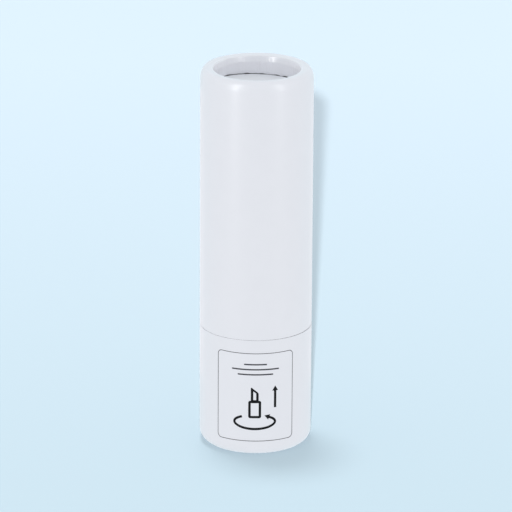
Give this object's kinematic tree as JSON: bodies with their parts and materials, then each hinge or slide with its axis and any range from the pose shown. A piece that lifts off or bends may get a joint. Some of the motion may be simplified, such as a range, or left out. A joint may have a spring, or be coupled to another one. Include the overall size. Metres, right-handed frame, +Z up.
{
  "type": "twist-up lip balm stick",
  "caption": "White paperboard tube with a pull-off cap over a short base; turning the neck in the base raises a stick of balm through a helical cam.",
  "frame": {"origin": "centre of the foot of the base, on the surface it stands on", "axes": "+Z up the tube's axis towards the rim; -Y is the printed front, +X to its right"},
  "size_m": [0.02, 0.02, 0.0696],
  "materials": {
    "greyboard": "wound greyboard, matt",
    "laminated_paper": "white, gloss laminated",
    "white_card": "white drawn card, satin",
    "white_moulding": "fine moulded",
    "neck_moulding": "moulded gloss",
    "cam_moulding": "moulded, slippery",
    "cup_moulding": "moulded",
    "soft_ring": "soft, greased",
    "balm": "soft wax, satin"
  },
  "bodies": {
    "base": {"base_core_tube": "greyboard", "base_wrap_paper": "laminated_paper", "base_bottom_disc": "white_card", "base_insert": "white_moulding", "slotted_sleeve": "white_moulding", "friction_ring": "soft_ring"},
    "neck": {"neck_shell": "neck_moulding", "spiral_cam": "cam_moulding"},
    "carrier": {"carrier_cup": "cup_moulding", "balm": "balm"},
    "cap": {"cap_core_tube": "greyboard", "cap_wrap_paper": "laminated_paper", "cap_top_disc": "white_card", "cap_liner": "white_moulding"}
  },
  "joints": [
    {"name": "neck_turn", "type": "hinge", "parent": "base", "child": "neck", "pos_m": [0, 0, 0], "axis": [0, 0, 1], "range_deg": [0, 540]},
    {"name": "balm_rise", "type": "slide", "parent": "base", "child": "carrier", "axis": [0, 0, 1], "range_m": [0, 0.022]},
    {"name": "cap_pull", "type": "slide", "parent": "neck", "child": "cap", "axis": [0, 0, 1], "range_m": [0, 0.05]}
  ],
  "couplings": [
    {"joint": "balm_rise", "follows": "neck_turn", "m_per_rad": 0.002334}
  ]
}
